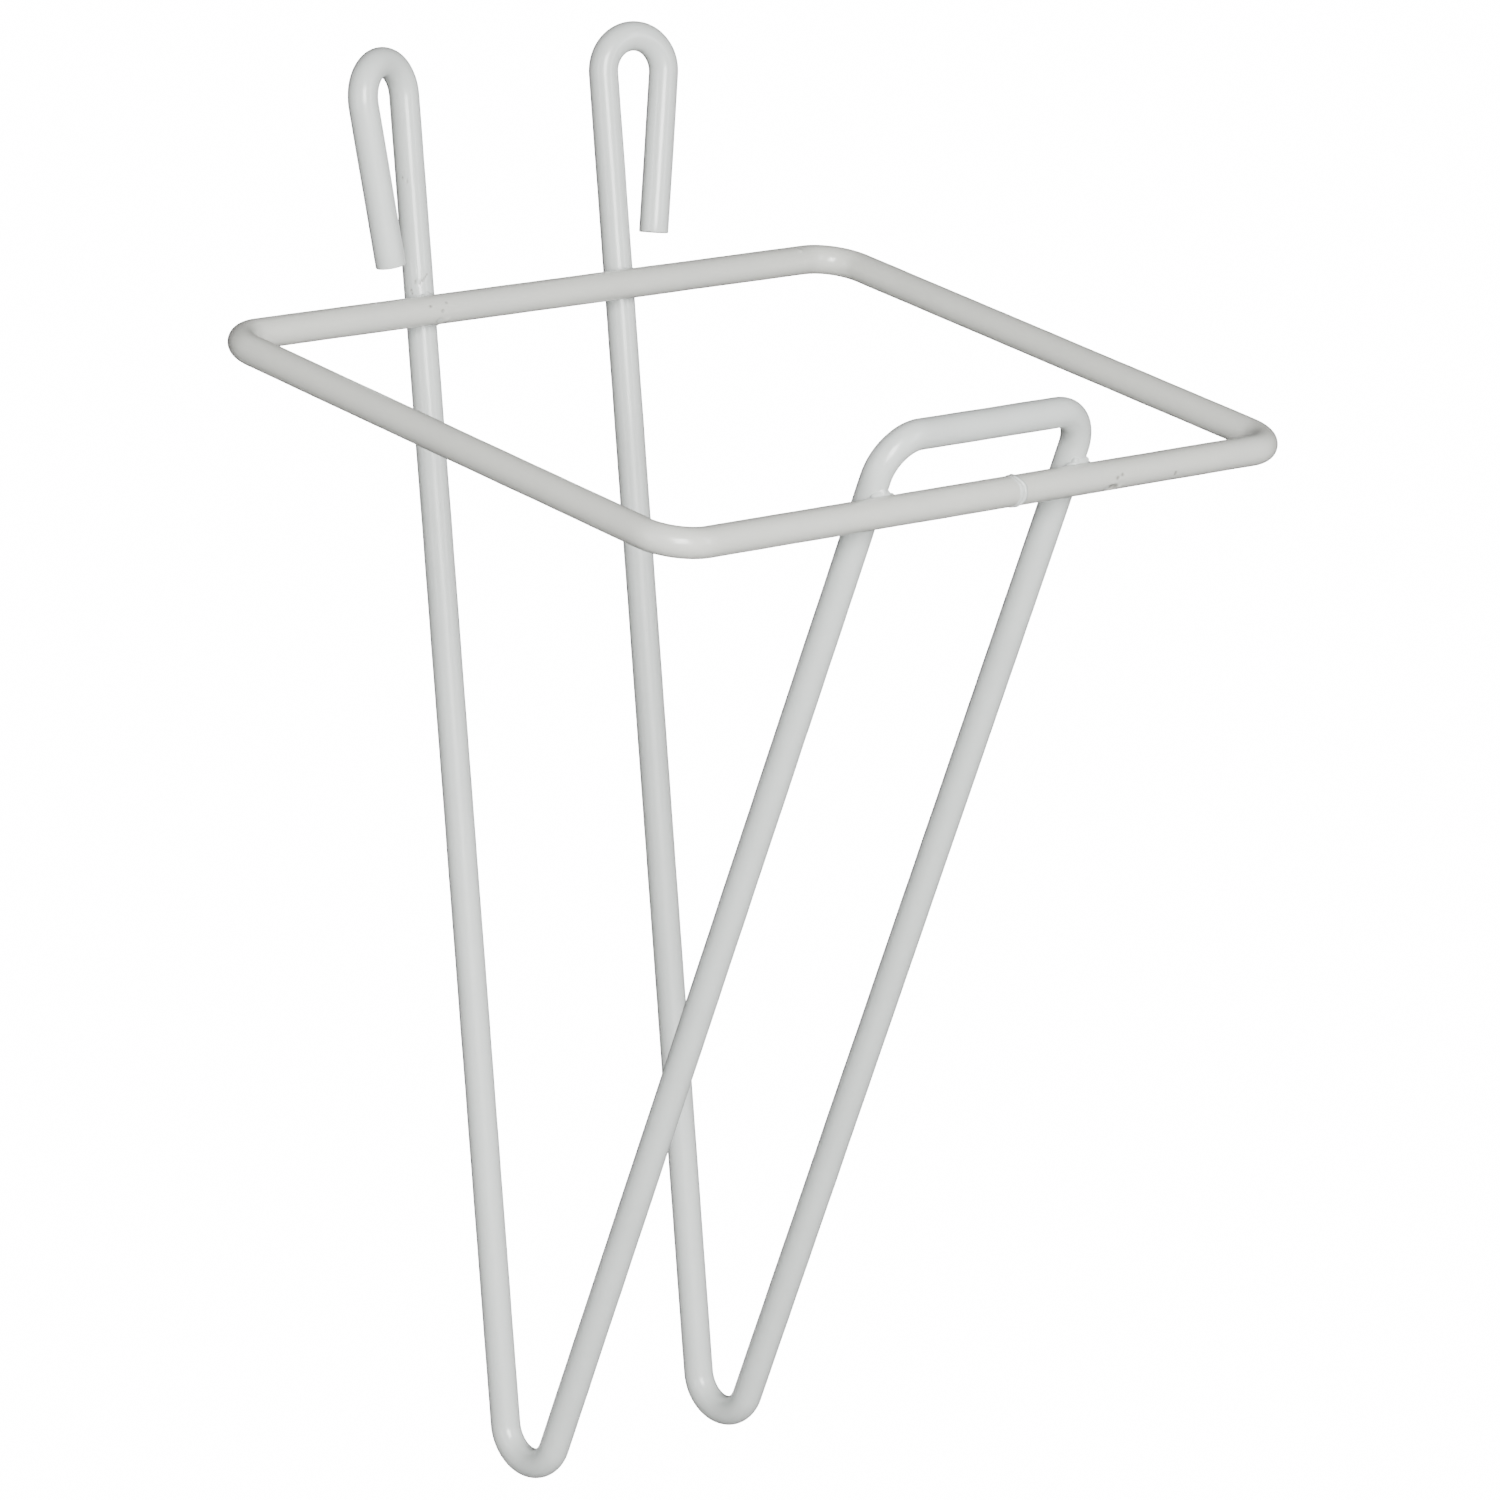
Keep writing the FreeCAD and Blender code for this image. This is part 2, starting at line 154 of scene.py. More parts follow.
class CoatSettings(bpy.types.PropertyGroup):
    colour: bpy.props.FloatVectorProperty(
        name="Coat Colour", description="Main colour of the powder coat",
        default=(0.62, 0.65, 0.635), size=3, subtype="COLOR", min=0, max=1)
    # Painted shade: the hoop's coat gets a slightly darker, warmer colour than the legs' to stand in
    # for how light falls on its bars. The coat itself is the same on both wires.
    hoop_shaded_colour: bpy.props.FloatVectorProperty(
        name="Hoop Shaded Colour", description="Colour of the coat on the hoop, a little warmer",
        default=(0.605, 0.61, 0.572), size=3, subtype="COLOR", min=0, max=1)
    thin_colour: bpy.props.FloatVectorProperty(
        name="Thin Colour", description="Colour where the coat is thin over the steel",
        default=(0.50, 0.51, 0.51), size=3, subtype="COLOR", min=0, max=1)
    speck_colour: bpy.props.FloatVectorProperty(
        name="Speck Colour", description="Colour of dust baked into the coat",
        default=(0.16, 0.15, 0.13), size=3, subtype="COLOR", min=0, max=1)
    roughness: bpy.props.FloatProperty(
        name="Roughness", description="Roughness of the satin coat", default=0.33, min=0, max=1)
    waviness: bpy.props.FloatProperty(
        name="Waviness", description="How far the coat's thickness wanders along a wire",
        default=0.09 * MM, unit="LENGTH", precision=6)
    peel: bpy.props.FloatProperty(
        name="Orange Peel", description="Depth of the coat's orange peel",
        default=0.012 * MM, unit="LENGTH", precision=6)


class StageSettings(bpy.types.PropertyGroup):
    azimuth: bpy.props.FloatProperty(
        name="Azimuth", description="How far the camera stands round to the left of the front",
        default=math.radians(44.3), subtype="ANGLE")
    elevation: bpy.props.FloatProperty(
        name="Elevation", description="How far the camera looks down",
        default=math.radians(7.1), subtype="ANGLE")
    roll: bpy.props.FloatProperty(
        name="Roll", description="How far the camera is turned about its view",
        default=math.radians(4.1), subtype="ANGLE")
    distance: bpy.props.FloatProperty(
        name="Distance", description="From the camera to the middle of the holder",
        default=1.655, unit="LENGTH")
    lens: bpy.props.FloatProperty(
        name="Lens", description="Focal length of the camera", default=192, unit="CAMERA")
    floor_gap: bpy.props.FloatProperty(
        name="Floor Gap", description="From the floor up to the lower bends",
        default=0.04, unit="LENGTH")
    key_power: bpy.props.FloatProperty(
        name="Key Power", description="Power of the large soft light in front, in watts",
        default=82, min=0)
    surround: bpy.props.FloatProperty(
        name="Surround", description="Brightness of the room's light on the holder",
        default=0.10, min=0)


# Modelling tools

def deselect():
    if bpy.context.mode != "OBJECT":
        bpy.ops.object.mode_set(mode="OBJECT")
    bpy.ops.object.select_all(action="DESELECT")


def make_active(piece):
    deselect()
    piece.select_set(True)
    bpy.context.view_layer.objects.active = piece


def name_new(name):
    """Name the primitive just added, and put its place into its mesh."""
    piece = bpy.context.object
    piece.name = name
    piece.data.name = name
    bpy.ops.object.transform_apply(location=True, rotation=True, scale=True)
    return piece


def facing(way):
    """Rotation that turns a primitive's +Z towards way."""
    return way.to_track_quat("Z", "Y").to_euler()


def axis_turn(axis, angle):
    """Matrix that turns by angle about axis, by the right-hand rule."""
    return Matrix.Rotation(angle, 3, axis)


def apply_modifier(piece, kind, **values):
    """Add a modifier with these values to a piece and apply it."""
    make_active(piece)
    modifier = piece.modifiers.new(kind.title(), kind)
    for name, value in values.items():
        setattr(modifier, name, value)
    bpy.ops.object.modifier_apply(modifier=modifier.name)


def cloud(name, grain):
    """A smooth noise to displace with, made once for each name."""
    texture = bpy.data.textures.get(name)
    if texture is None:
        texture = bpy.data.textures.new(name, "CLOUDS")
        texture.noise_scale = grain
        texture.noise_depth = 2
    return texture


class WireBender:
    """Feeds and bends a round wire as a bending machine does, from its first end to its last."""

    def __init__(self, name, at, way, wire):
        self.at = at.copy()
        self.way = way.normalized()
        self.gap = wire.ring_gap
        deselect()
        bpy.ops.mesh.primitive_circle_add(
            vertices=wire.sides, radius=wire.radius, fill_type="NGON",
            location=self.at, rotation=facing(self.way))
        self.piece = name_new(name)
        bpy.ops.object.mode_set(mode="EDIT")
        bpy.ops.mesh.select_mode(type="FACE")
        bpy.ops.mesh.select_all(action="SELECT")

    def feed(self, length):
        """A straight length."""
        steps = max(1, round(length / self.gap))
        bpy.ops.mesh.extrude_repeat(steps=steps, offset=self.way * (length / steps))
        self.at += self.way * length

    def bend(self, axis, angle, radius):
        """A bend about axis, by the right-hand rule."""
        steps = max(4, round(math.degrees(angle) / BEND_STEP))
        centre = self.at + axis.cross(self.way) * radius
        bpy.ops.mesh.spin(steps=steps, angle=-angle, center=centre, axis=axis)
        turn = axis_turn(axis, angle)
        self.at = centre + turn @ (self.at - centre)
        self.way = turn @ self.way

    def finish(self):
        """Leave edit mode, with the wire's faces pointing outwards."""
        bpy.ops.mesh.select_all(action="SELECT")
        bpy.ops.mesh.remove_doubles(threshold=MERGE_DISTANCE)
        bpy.ops.mesh.normals_make_consistent(inside=False)
        bpy.ops.object.mode_set(mode="OBJECT")
        return self.piece


def select_faces(piece, wanted):
    """Select only the faces for which wanted(face) is true, and enter edit mode."""
    make_active(piece)
    bpy.ops.object.mode_set(mode="EDIT")
    bpy.ops.mesh.select_mode(type="FACE")
    bpy.ops.mesh.select_all(action="DESELECT")
    bpy.ops.object.mode_set(mode="OBJECT")
    for face in piece.data.polygons:
        face.select = wanted(face)
    bpy.ops.object.mode_set(mode="EDIT")


def soften_ends(piece, offset):
    """Round the rims of a wire's two cut ends, as the shear and the coat leave them."""
    sides = max(len(face.vertices) for face in piece.data.polygons)
    select_faces(piece, lambda face: len(face.vertices) == sides)
    bpy.ops.mesh.region_to_loop()
    bpy.ops.mesh.bevel(offset=offset, segments=3, affect="EDGES")
    bpy.ops.object.mode_set(mode="OBJECT")


def pull_point(piece, place, shift, reach):
    """Move the vertex nearest to place by shift, and those within reach of it less and less."""
    make_active(piece)
    bpy.ops.object.mode_set(mode="EDIT")
    bpy.ops.mesh.select_mode(type="VERT")
    bpy.ops.mesh.select_all(action="DESELECT")
    bpy.ops.object.mode_set(mode="OBJECT")
    nearest = min(piece.data.vertices, key=lambda vertex: (vertex.co - place).length)
    nearest.select = True
    bpy.ops.object.mode_set(mode="EDIT")
    bpy.ops.transform.translate(
        value=shift, use_proportional_edit=True, proportional_size=reach,
        proportional_edit_falloff="SMOOTH")
    bpy.ops.object.mode_set(mode="OBJECT")


def press_marks(piece, marks):
    """Press small dents into the surface, or raise lumps with a negative depth.

    Each mark is its place, the way in, its radius and its depth. A dent is also scuffed, which
    the coat's material reads from an attribute.
    """
    select_faces(piece, lambda face: any(
        (face.center - place).length < radius + MARK_MARGIN for place, _, radius, _ in marks))
    bpy.ops.mesh.subdivide(number_cuts=MARK_CUTS)
    for place, inward, radius, depth in marks:
        pull_point(piece, place, inward * depth, radius)
    scuff = piece.data.attributes.new("scuff", "FLOAT", "POINT").data
    for vertex in piece.data.vertices:
        for place, _, radius, depth in marks:
            near = 1 - (vertex.co - place).length / (SCUFF_REACH * radius)
            if depth > 0 and near > 0:
                value = min(1, SCUFF_EDGE * near)
                scuff[vertex.index].value = max(scuff[vertex.index].value, value)


def vary_coat(piece, waviness):
    """Let the coat's thickness wander along a wire."""
    apply_modifier(piece, "DISPLACE", texture=cloud("coat_waves", COAT_WAVE),
                   strength=waviness, mid_level=0.5, texture_coords="LOCAL")


def finish_coat(piece, material, replaced):
    """Set a piece's shading, material and body, and hide the frame's node that it stands for."""
    make_active(piece)
    bpy.ops.object.shade_smooth_by_angle(angle=SMOOTH_ANGLE)
    piece.data.materials.clear()
    piece.data.materials.append(material)
    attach(piece, BODY)
    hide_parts(replaced)


# Materials

def add_node(tree, kind, inputs=None, **values):
    """Add a node, set its properties, and set or link its inputs."""
    node = tree.nodes.new(kind)
    for name, value in values.items():
        setattr(node, name, value)
    for name, value in (inputs or {}).items():
        if isinstance(value, bpy.types.NodeSocket):
            tree.links.new(value, node.inputs[name])
        else:
            node.inputs[name].default_value = value
    return node


def with_alpha(colour):
    return (*colour, 1.0)


def coat_surface_group():
    """Powder coat's colour, roughness and height: mottling, orange peel and baked-in dust."""
    name = "Coat Surface"
    if name in bpy.data.node_groups:
        return bpy.data.node_groups[name]
    group = bpy.data.node_groups.new(name, "ShaderNodeTree")
    for label, kind in (
        ("Vector", "NodeSocketVector"), ("Colour", "NodeSocketColor"),
        ("Thin Colour", "NodeSocketColor"), ("Speck Colour", "NodeSocketColor"),
        ("Roughness", "NodeSocketFloat"), ("Specks", "NodeSocketFloat"),
        ("Scuff", "NodeSocketFloat"),
    ):
        group.interface.new_socket(name=label, in_out="INPUT", socket_type=kind)
    for label, kind in (
        ("Colour", "NodeSocketColor"), ("Roughness", "NodeSocketFloat"),
        ("Height", "NodeSocketFloat"),
    ):
        group.interface.new_socket(name=label, in_out="OUTPUT", socket_type=kind)
    given = group.nodes.new("NodeGroupInput").outputs
    place = given["Vector"]

    mottle = add_node(group, "ShaderNodeTexNoise",
                      {"Vector": place, "Scale": 70.0, "Detail": 3.0, "Roughness": 0.55})
    thin = add_node(group, "ShaderNodeMapRange",
                    {"Value": mottle.outputs["Fac"], "From Min": 0.42, "From Max": 0.75,
                     "To Min": 0.0, "To Max": 0.22})
    mixed = add_node(group, "ShaderNodeMix",
                     {"Factor": thin.outputs["Result"]}, data_type="RGBA")
    group.links.new(given["Colour"], mixed.inputs["A"])
    group.links.new(given["Thin Colour"], mixed.inputs["B"])

    cells = add_node(group, "ShaderNodeTexVoronoi", {"Vector": place, "Scale": 150.0})
    small = add_node(group, "ShaderNodeMapRange",
                     {"Value": cells.outputs["Distance"], "From Min": 0.035, "From Max": 0.02,
                      "To Min": 0.0, "To Max": 1.0})
    pick = add_node(group, "ShaderNodeSeparateColor", {"Color": cells.outputs["Color"]})
    rare = add_node(group, "ShaderNodeMath",
                    {0: pick.outputs["Red"], 1: given["Specks"]}, operation="LESS_THAN")
    speck = add_node(group, "ShaderNodeMath",
                     {0: small.outputs["Result"], 1: rare.outputs["Value"]}, operation="MULTIPLY")
    torn = add_node(group, "ShaderNodeMath",
                    {0: given["Scuff"], 1: 0.75}, operation="MULTIPLY")
    marked = add_node(group, "ShaderNodeMath",
                      {0: speck.outputs["Value"], 1: torn.outputs["Value"]}, operation="MAXIMUM")
    specked = add_node(group, "ShaderNodeMix",
                       {"Factor": marked.outputs["Value"]}, data_type="RGBA")
    group.links.new(mixed.outputs["Result"], specked.inputs["A"])
    group.links.new(given["Speck Colour"], specked.inputs["B"])

    peel = add_node(group, "ShaderNodeTexNoise",
                    {"Vector": place, "Scale": 620.0, "Detail": 1.5, "Roughness": 0.4})
    grain = add_node(group, "ShaderNodeTexNoise",
                     {"Vector": place, "Scale": 4200.0, "Detail": 1.0})
    grained = add_node(group, "ShaderNodeMath",
                       {0: grain.outputs["Fac"], 1: 0.12}, operation="MULTIPLY")
    bumpy = add_node(group, "ShaderNodeMath",
                     {0: peel.outputs["Fac"], 1: grained.outputs["Value"]}, operation="ADD")
    pitted = add_node(group, "ShaderNodeMath",
                      {0: speck.outputs["Value"], 1: 1.4}, operation="MULTIPLY")
    height = add_node(group, "ShaderNodeMath",
                      {0: bumpy.outputs["Value"], 1: pitted.outputs["Value"]},
                      operation="SUBTRACT")

    patches = add_node(group, "ShaderNodeMapRange",
                       {"Value": mottle.outputs["Fac"], "From Min": 0.3, "From Max": 0.7,
                        "To Min": -0.05, "To Max": 0.07})
    rough = add_node(group, "ShaderNodeMath",
                     {0: given["Roughness"], 1: patches.outputs["Result"]}, operation="ADD")

    result = group.nodes.new("NodeGroupOutput").inputs
    group.links.new(specked.outputs["Result"], result["Colour"])
    group.links.new(rough.outputs["Value"], result["Roughness"])
    group.links.new(height.outputs["Value"], result["Height"])
    return group


def coat_material(name, colour, specks, peel_depth):
    """Satin powder coat over steel."""
    if name in bpy.data.materials:
        return bpy.data.materials[name]
    coat = bpy.context.scene.bag_holder_coat
    material = bpy.data.materials.new(name)
    material.use_nodes = True
    tree = material.node_tree
    shader = tree.nodes["Principled BSDF"]
    place = add_node(tree, "ShaderNodeTexCoord").outputs["Object"]
    surface = add_node(tree, "ShaderNodeGroup", node_tree=coat_surface_group())
    tree.links.new(place, surface.inputs["Vector"])
    surface.inputs["Colour"].default_value = with_alpha(colour)
    surface.inputs["Thin Colour"].default_value = with_alpha(coat.thin_colour)
    surface.inputs["Speck Colour"].default_value = with_alpha(coat.speck_colour)
    surface.inputs["Roughness"].default_value = coat.roughness
    surface.inputs["Specks"].default_value = specks
    scuff = add_node(tree, "ShaderNodeAttribute", attribute_name="scuff")
    tree.links.new(scuff.outputs["Fac"], surface.inputs["Scuff"])
    bump = add_node(tree, "ShaderNodeBump",
                    {"Strength": 1.0, "Distance": peel_depth, "Height": surface.outputs["Height"]})
    tree.links.new(surface.outputs["Colour"], shader.inputs["Base Color"])
    tree.links.new(surface.outputs["Roughness"], shader.inputs["Roughness"])
    tree.links.new(bump.outputs["Normal"], shader.inputs["Normal"])
    shader.inputs["IOR"].default_value = 1.5
    shader.inputs["Coat Weight"].default_value = 0.5
    shader.inputs["Coat Roughness"].default_value = 0.14
    return material


def frame_coat():
    coat = bpy.context.scene.bag_holder_coat
    return coat_material("frame_powder_coat", coat.colour, 0.04, coat.peel)


# Painted shade: a copy of the coat material in the hoop's darker, warmer colour, standing in for how
# light falls on the hoop's bars.
def hoop_shaded_coat():
    coat = bpy.context.scene.bag_holder_coat
    return coat_material("hoop_shaded_powder_coat", coat.hoop_shaded_colour, 0.05, coat.peel)


def weld_coat():
    coat = bpy.context.scene.bag_holder_coat
    return coat_material("weld_powder_coat", coat.colour, 0.5, 2 * coat.peel)


# Pieces

class BAGHOLDER_OT_frame_wire(bpy.types.Operator):
    """Model the wire that makes both hooks, the legs, the struts and the bridge"""
    bl_idname = "bag_holder.frame_wire"
    bl_label = "Frame Wire"

    def execute(self, context):
        wire = context.scene.bag_holder_wire
        coat = context.scene.bag_holder_coat
        lean = strut_lean(wire.lower_bend)
        swing = wire.hook_swing
        close = wire.hook_close

        out = Vector((-math.cos(swing), -math.sin(swing), 0))
        leg_top = Vector((-LEG_X, 0, 0))
        tail_way = out * math.sin(close) + Z * math.cos(close)
        bend_end = (leg_top + out * HOOK_RADIUS * (1 + math.cos(close))
                    - Z * HOOK_RADIUS * math.sin(close))
        hook_turn = math.pi + close
        leg = -(LEG_BOTTOM + wire.lower_bend)
        strut_way = Vector((0, -math.sin(lean), math.cos(lean)))
        strut_start = Vector((0, -wire.lower_bend, -leg)) - wire.lower_bend * Vector(
            (0, math.cos(lean), math.sin(lean)))
        strut_to_corner = (BRIDGE_Y - strut_start.y) / strut_way.y
        strut = strut_to_corner - wire.bridge_bend

        bender = WireBender("coated_frame_wire", bend_end - tail_way * wire.hook_tail,
                            tail_way, wire)
        bender.feed(wire.hook_tail)
        bender.bend(out.cross(Z), hook_turn, HOOK_RADIUS)
        bender.feed(leg)
        bender.bend(-X, math.pi - lean, wire.lower_bend)
        bender.feed(strut)
        bender.bend(strut_way.cross(X), math.pi / 2, wire.bridge_bend)
        bender.feed(2 * (LEG_X - wire.bridge_bend))
        bender.bend(strut_way.cross(X), math.pi / 2, wire.bridge_bend)
        bender.feed(strut)
        bender.bend(X, math.pi - lean, wire.lower_bend)
        bender.feed(leg)
        out.x = -out.x
        bender.bend(Z.cross(out), hook_turn, HOOK_RADIUS)
        bender.feed(wire.hook_tail)
        piece = bender.finish()
        soften_ends(piece, END_BEVEL)
        vary_coat(piece, coat.waviness)
        press_marks(piece, leg_marks())
        finish_coat(piece, frame_coat(), "frame_wire")
        return {"FINISHED"}


def on_leg(side, height, turn):
    """Place on a leg's surface and the way in.

    Height is above the rear bar's middle, and turn is from the leg's front towards its left.
    """
    outward = Vector((-math.sin(turn), -math.cos(turn), 0))
    return Vector((side * LEG_X, 0, REAR_BAR.z + height)) + outward * WIRE_RADIUS, -outward


def leg_marks():
    """A curved scratch and some nicks on the left leg, above the rear bar.

    Heights, radii and depths are in millimetres, and turns in degrees.
    """
    marks = []
    scratch = [(5.4, 40), (5.6, 34), (6.0, 27), (6.3, 20), (6.8, 12), (7.3, 5)]
    for height, turn in scratch:
        marks.append((*on_leg(-1, height * MM, math.radians(turn)), 0.42 * MM, 0.10 * MM))
    nicks = [(6.0, 54, 0.55, 0.14), (7.9, 50, 0.35, -0.08), (4.2, 74, 0.5, 0.10),
             (3.6, 70, 0.4, 0.08), (26.8, 56, 0.4, 0.12), (27.6, 74, 0.4, 0.10)]
    for height, turn, radius, depth in nicks:
        marks.append((*on_leg(-1, height * MM, math.radians(turn)), radius * MM, depth * MM))
    return marks


class BAGHOLDER_OT_hoop_wire(bpy.types.Operator):
    """Model the sloping hoop from one end of its wire round to the other"""
    bl_idname = "bag_holder.hoop_wire"
    bl_label = "Hoop Wire"

    def execute(self, context):
        wire = context.scene.bag_holder_wire
        coat = context.scene.bag_holder_coat
        slope = REAR_BAR - FRONT_BAR
        depth = slope.length
        back = slope.normalized()
        up = X.cross(back)
        bend = wire.hoop_bend
        half_gap = 0.3 * MM
        start = FRONT_BAR + X * (BUTT_X + half_gap)
        side = depth - 2 * bend
        bender = WireBender("coated_hoop_wire", start, X, wire)
        bender.feed(HOOP_HALF_WIDTH - BUTT_X - half_gap - bend)
        bender.bend(up, math.pi / 2, bend)
        bender.feed(side)
        bender.bend(up, math.pi / 2, bend)
        bender.feed(2 * (HOOP_HALF_WIDTH - bend))
        bender.bend(up, math.pi / 2, bend)
        bender.feed(side)
        bender.bend(up, math.pi / 2, bend)
        bender.feed(HOOP_HALF_WIDTH + BUTT_X - half_gap - bend)
        piece = bender.finish()
        vary_coat(piece, coat.waviness)
        press_marks(piece, hoop_marks())
        finish_coat(piece, hoop_shaded_coat(), "hoop_wire")
        return {"FINISHED"}


def on_bar(bar, x, turn):
    """Place on a bar's surface and the way in: turn is from its front down to its underside."""
    outward = Vector((0, -math.cos(turn), -math.sin(turn)))
    return bar + X * x + outward * WIRE_RADIUS, -outward


def hoop_marks():
    """Dents, pits and lumps on the front bar and on the rear bar.

    Places along a bar, radii and depths are in millimetres, and turns in degrees.
    """
    front = [(32.4, 52, 1.1, 0.3), (33.6, 46, 1.3, 0.34), (34.9, 49, 1.1, 0.28),
             (36.2, 50, 0.9, -0.2), (33.7, 30, 0.8, -0.18), (34.8, 10, 0.75, 0.16),
             (36.2, 0, 0.7, 0.16), (35.6, 18, 0.5, -0.1), (52.4, 26, 0.6, 0.08),
             (52.4, 34, 0.6, 0.08)]
    rear = [(-33.8, -20, 0.6, 0.13), (-30.6, 4, 0.65, 0.13), (-29.2, -26, 0.55, 0.11),
            (-31.0, 46, 1.1, 0.24), (-28.8, 44, 1.0, -0.2), (-27.4, -12, 0.5, -0.12),
            (76.2, -46, 0.9, -0.22)]
    return [(*on_bar(bar, x * MM, math.radians(turn)), radius * MM, depth * MM)
            for bar, places in ((FRONT_BAR, front), (REAR_BAR, rear))
            for x, turn, radius, depth in places]


class BAGHOLDER_OT_crossing_welds(bpy.types.Operator):
    """Model the metal squeezed out where the legs and the struts cross the hoop"""
    bl_idname = "bag_holder.crossing_welds"
    bl_label = "Crossing Welds"

    def execute(self, context):
        lean = strut_lean(context.scene.bag_holder_wire.lower_bend)
        strut_way = Vector((0, -math.sin(lean), math.cos(lean)))
        for row, bar, way in (("rear", REAR_BAR, Z), ("front", FRONT_BAR, strut_way)):
            for seed, (hand, side) in enumerate((("left", -1), ("right", 1))):
                crossing = bar + X * side * LEG_X
                make_crossing_weld(f"coated_{row}_{hand}_weld", f"{row}_{hand}_weld",
                                   crossing, way, seed + 10 * (row == "front"))
        return {"FINISHED"}


def make_crossing_weld(name, replaced, crossing, way, seed):
    """Two short stubs of wire and beads of metal between them, melted into one fillet."""
    apart = way.cross(X)
    if apart.y < 0:
        apart = -apart
    contact = crossing + apart * CROSSING / 2
    stub = WIRE_RADIUS - STUB_SUNK
    parts = []
    for middle, along in ((crossing, X), (crossing + apart * CROSSING, way)):
        deselect()
        bpy.ops.mesh.primitive_cylinder_add(
            vertices=64, radius=stub, depth=STUB_LENGTH, location=middle, rotation=facing(along))
        parts.append(name_new(name))
    deselect()
    bpy.ops.mesh.primitive_torus_add(
        major_radius=RING_RADIUS, minor_radius=RING_THICKNESS, location=contact, rotation=facing(apart))
    parts.append(name_new(name))
    dice = random.Random(seed)
    for number in range(BEADS):
        angle = 2 * math.pi * (number + dice.uniform(-0.35, 0.35)) / BEADS
        reach = dice.uniform(2.7, 3.25) * MM
        deselect()
        bpy.ops.mesh.primitive_uv_sphere_add(
            segments=24, ring_count=16, radius=dice.uniform(0.42, 0.85) * MM,
            location=contact + (X * math.cos(angle) + way * math.sin(angle)) * reach)
        parts.append(name_new(name))
    deselect()
    for part in parts:
        part.select_set(True)
    weld = parts[0]
    bpy.context.view_layer.objects.active = weld
    bpy.ops.object.join()
    weld.name = name
    weld.data.name = name
    apply_modifier(weld, "REMESH", mode="VOXEL", voxel_size=WELD_VOXEL)
    apply_modifier(weld, "SMOOTH", factor=0.5, iterations=9)
    apply_modifier(weld, "DISPLACE", texture=cloud("weld_lumps", 0.9 * MM),
                   strength=0.10 * MM, mid_level=0.5, texture_coords="LOCAL")
    finish_coat(weld, weld_coat(), replaced)


class BAGHOLDER_OT_butt_weld(bpy.types.Operator):
    """Model the butt weld that closes the hoop: two low ridges and the seam between them"""
    bl_idname = "bag_holder.butt_weld"
    bl_label = "Butt Weld"

    # Distance along the bar from the seam, and height above the wire, in millimetres.
    PROFILE = [(-1.6, -0.12), (-1.1, 0.0), (-0.7, 0.1), (-0.42, 0.15), (-0.28, 0.1),
               (-0.2, -0.45), (0.12, -0.45), (0.2, 0.12), (0.4, 0.24), (0.7, 0.2),
               (1.1, 0.02), (1.6, -0.12)]

    def execute(self, context):
        wire = context.scene.bag_holder_wire
        seam = FRONT_BAR + X * BUTT_X
        first, rise = self.PROFILE[0]
        at = seam + X * first * MM
        deselect()
        bpy.ops.mesh.primitive_circle_add(
            vertices=96, radius=wire.radius + rise * MM, fill_type="NGON",
            location=at, rotation=facing(X))
        piece = name_new("coated_butt_weld")
        bpy.ops.object.mode_set(mode="EDIT")
        bpy.ops.mesh.select_mode(type="FACE")
        bpy.ops.mesh.select_all(action="SELECT")
        radius = wire.radius + rise * MM
        for along, rise in self.PROFILE[1:]:
            step = seam + X * along * MM - at
            bpy.ops.mesh.extrude_repeat(steps=1, offset=step)
            at += step
            grown = wire.radius + rise * MM
            bpy.ops.transform.resize(value=(grown / radius,) * 3, center_override=at)
            radius = grown
        bpy.ops.mesh.select_all(action="SELECT")
        bpy.ops.mesh.normals_make_consistent(inside=False)
        bpy.ops.object.mode_set(mode="OBJECT")
        self.bow_seam(piece, seam)
        apply_modifier(piece, "SUBSURF", levels=1, render_levels=1)
        apply_modifier(piece, "DISPLACE", texture=cloud("seam_lumps", 1.3 * MM),
                       strength=0.16 * MM, mid_level=0.5, texture_coords="LOCAL")
        finish_coat(piece, weld_coat(), "hoop_butt_weld")
        return {"FINISHED"}

    @staticmethod
    def bow_seam(piece, seam):
        """Carry the seam to the left at the top and at the bottom, as the ends flowed."""
        for turn, shift in ((-64, -1.0), (80, -0.8)):
            place = on_bar(seam, 0, math.radians(turn))[0]
            pull_point(piece, place, X * shift * MM, 3 * MM)


# Stage

def bright_for_camera(tree, plain, bright):
    """Mix two shaders so that the camera sees the bright one and the light uses the plain one."""
    path = add_node(tree, "ShaderNodeLightPath")
    mix = add_node(tree, "ShaderNodeMixShader", {0: path.outputs["Is Camera Ray"]})
    tree.links.new(plain, mix.inputs[1])
    tree.links.new(bright, mix.inputs[2])
    return mix.outputs[0]


def make_floor(gap):
    """A wide floor a little below the lower bends, which the camera sees as white."""
    low = CAD_BOX[0]
    deselect()
    bpy.ops.mesh.primitive_circle_add(
        vertices=96, radius=14, fill_type="NGON", location=(0, 0, low[2] - gap))
    floor = name_new("floor")
    material = bpy.data.materials.new("floor_paper")
    material.use_nodes = True
    tree = material.node_tree
    shader = tree.nodes["Principled BSDF"]
    place = add_node(tree, "ShaderNodeTexCoord").outputs["Object"]
    fibres = add_node(tree, "ShaderNodeTexNoise", {"Vector": place, "Scale": 40.0})
    tone = add_node(tree, "ShaderNodeMapRange",
                    {"Value": fibres.outputs["Fac"], "To Min": 0.34, "To Max": 0.38})
    tree.links.new(tone.outputs["Result"], shader.inputs["Base Color"])
    shader.inputs["Roughness"].default_value = 0.9
    glow = add_node(tree, "ShaderNodeEmission", {"Color": (1, 1, 1, 1), "Strength": WHITE})
    output = tree.nodes["Material Output"]
    surface = bright_for_camera(tree, shader.outputs[0], glow.outputs[0])
    tree.links.new(surface, output.inputs["Surface"])
    floor.data.materials.append(material)


